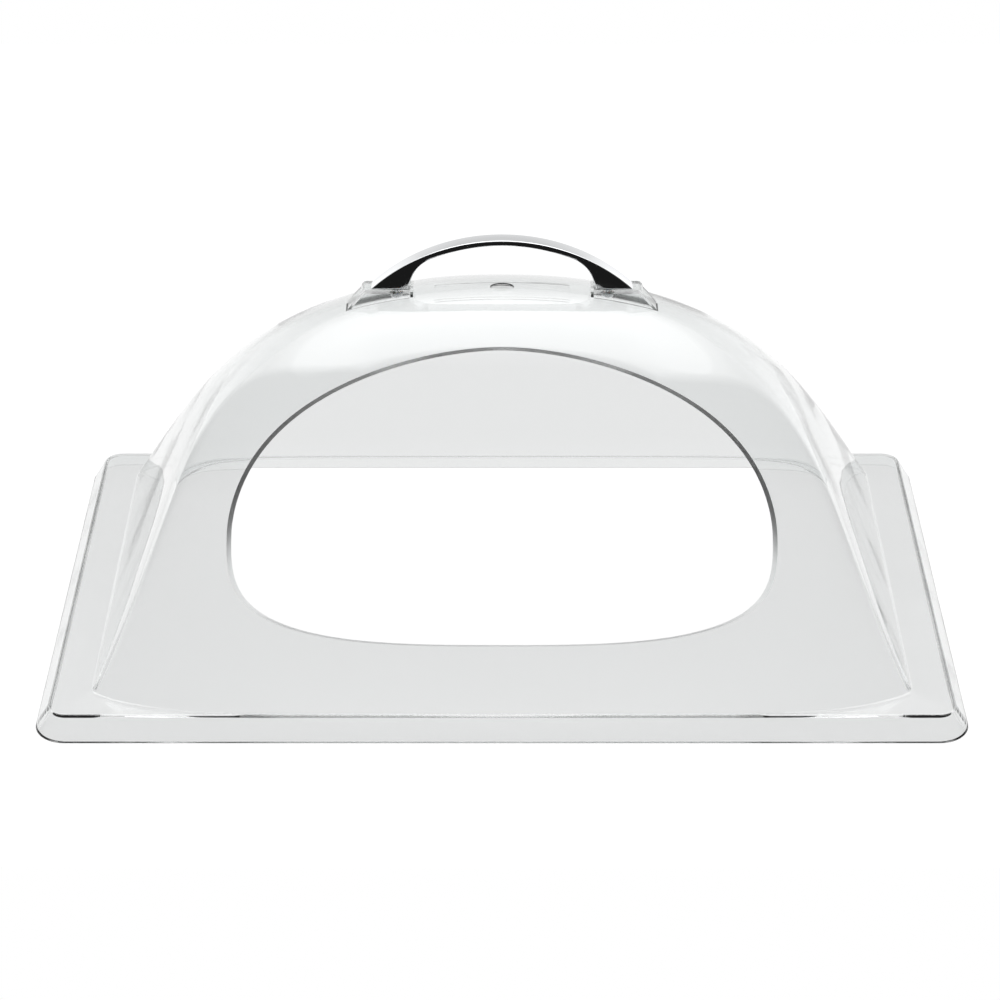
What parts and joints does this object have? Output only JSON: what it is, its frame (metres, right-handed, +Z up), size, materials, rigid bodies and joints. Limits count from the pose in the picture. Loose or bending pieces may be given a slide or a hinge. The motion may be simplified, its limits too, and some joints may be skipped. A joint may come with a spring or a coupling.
{
  "type": "buffet display cover",
  "caption": "Clear rectangular dome cover for a buffet tray, with an oval serving opening in one long side, a flared skirt and a chromed bow handle screwed on top.",
  "frame": {"origin": "middle of the skirt's foot, on the plane that the cover stands on", "axes": "+X along the long side, +Y from the serving opening to the closed back, +Z up"},
  "size_m": [0.52, 0.317, 0.2335],
  "materials": {
    "clear_polycarbonate": "clear, polished, moulded in one piece",
    "chrome_plate": "bright chrome plate on a zinc casting",
    "stainless_steel": "plain stainless steel",
    "clear_nylon": "natural nylon, satin"
  },
  "bodies": {
    "root": {"dome_cover": "clear_polycarbonate", "handle": "chrome_plate", "left_screw": "stainless_steel", "right_screw": "stainless_steel", "left_washer": "clear_nylon", "right_washer": "clear_nylon"}
  },
  "joints": []
}
